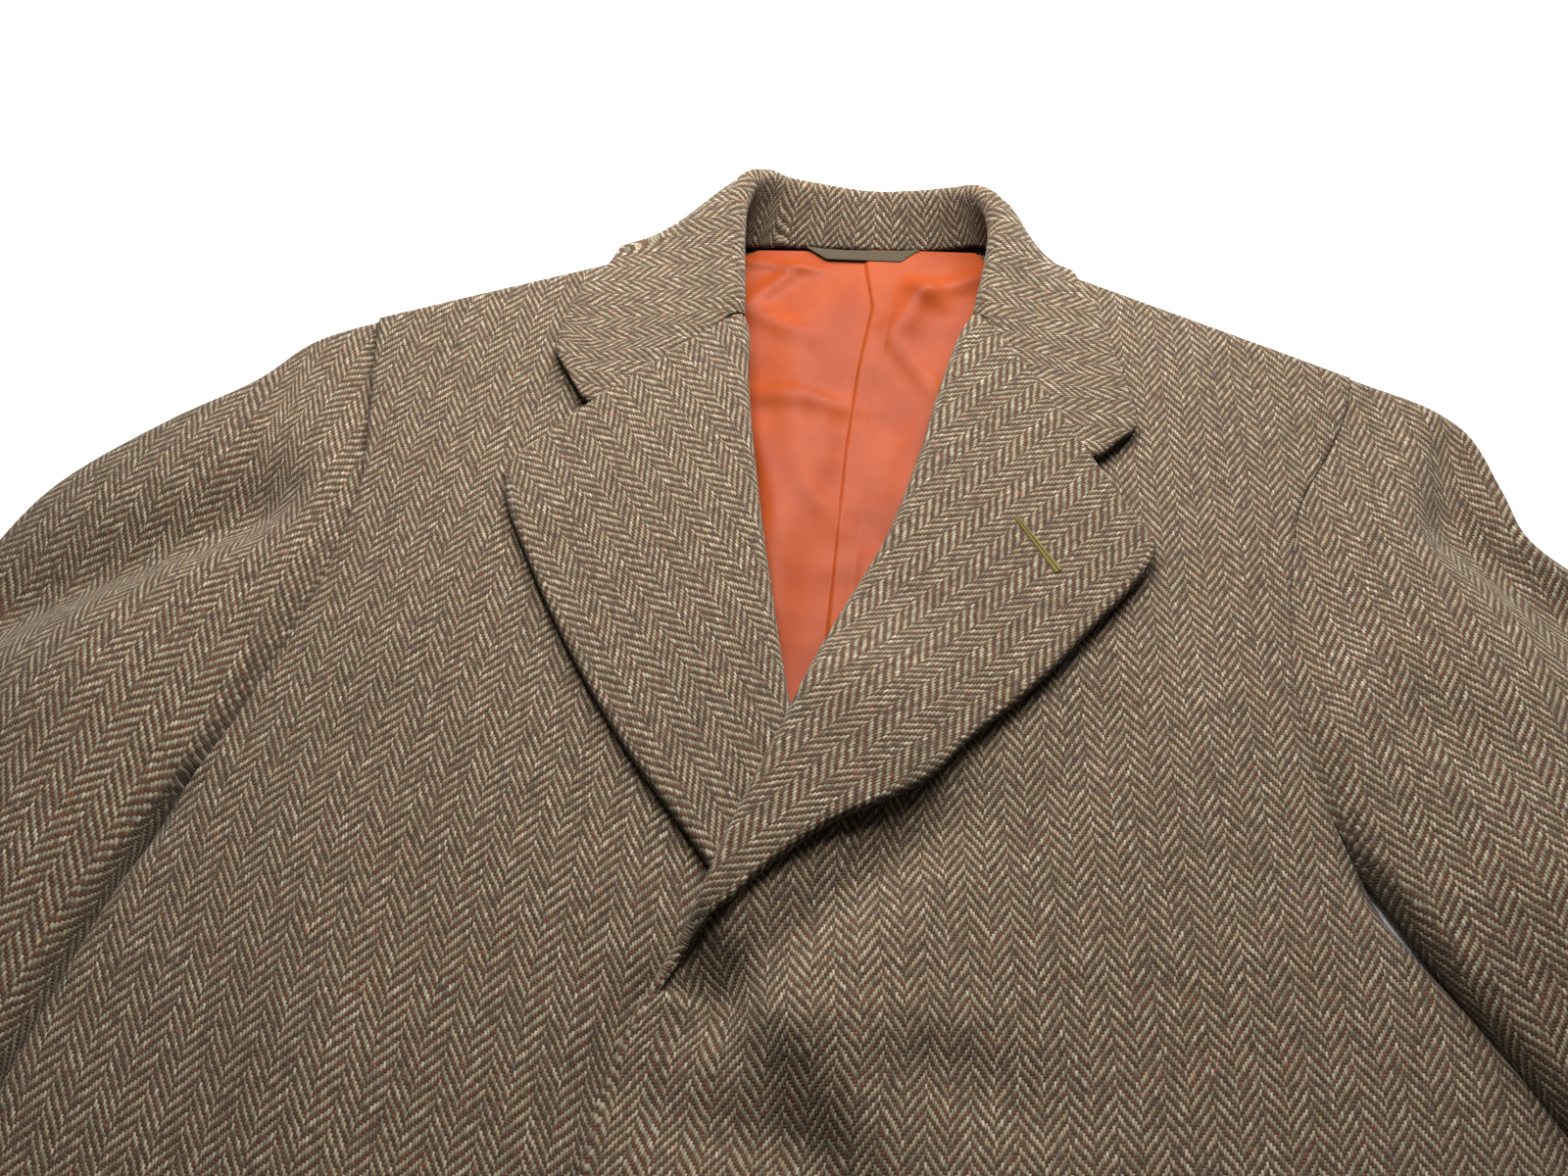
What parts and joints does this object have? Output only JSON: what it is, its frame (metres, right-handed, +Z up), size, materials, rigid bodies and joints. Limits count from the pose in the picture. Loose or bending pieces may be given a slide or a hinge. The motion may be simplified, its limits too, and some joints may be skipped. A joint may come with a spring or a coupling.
{
  "type": "tweed overcoat",
  "caption": "Single-breasted herringbone tweed overcoat laid flat on its back, with wide notch lapels, set-in sleeves and a satin-lined neck.",
  "frame": {"origin": "centre of the coat's bounding box, on the surface that it lies on", "axes": "+Z up from that surface, +Y towards the neck, +X towards the wearer's left sleeve"},
  "size_m": [1.2392, 1.1516, 0.0431],
  "materials": {
    "tweed": "woollen herringbone tweed, matt",
    "satin": "rust orange lining satin",
    "loop_satin": "dark olive brown satin strap"
  },
  "bodies": {
    "root": {"back": "tweed", "right_front": "tweed", "left_front": "tweed", "right_facing": "tweed", "left_facing": "tweed", "collar": "tweed", "right_top_sleeve": "tweed", "right_under_sleeve": "tweed", "left_top_sleeve": "tweed", "left_under_sleeve": "tweed", "back_lining": "satin", "hanger_loop": "loop_satin"}
  },
  "joints": []
}
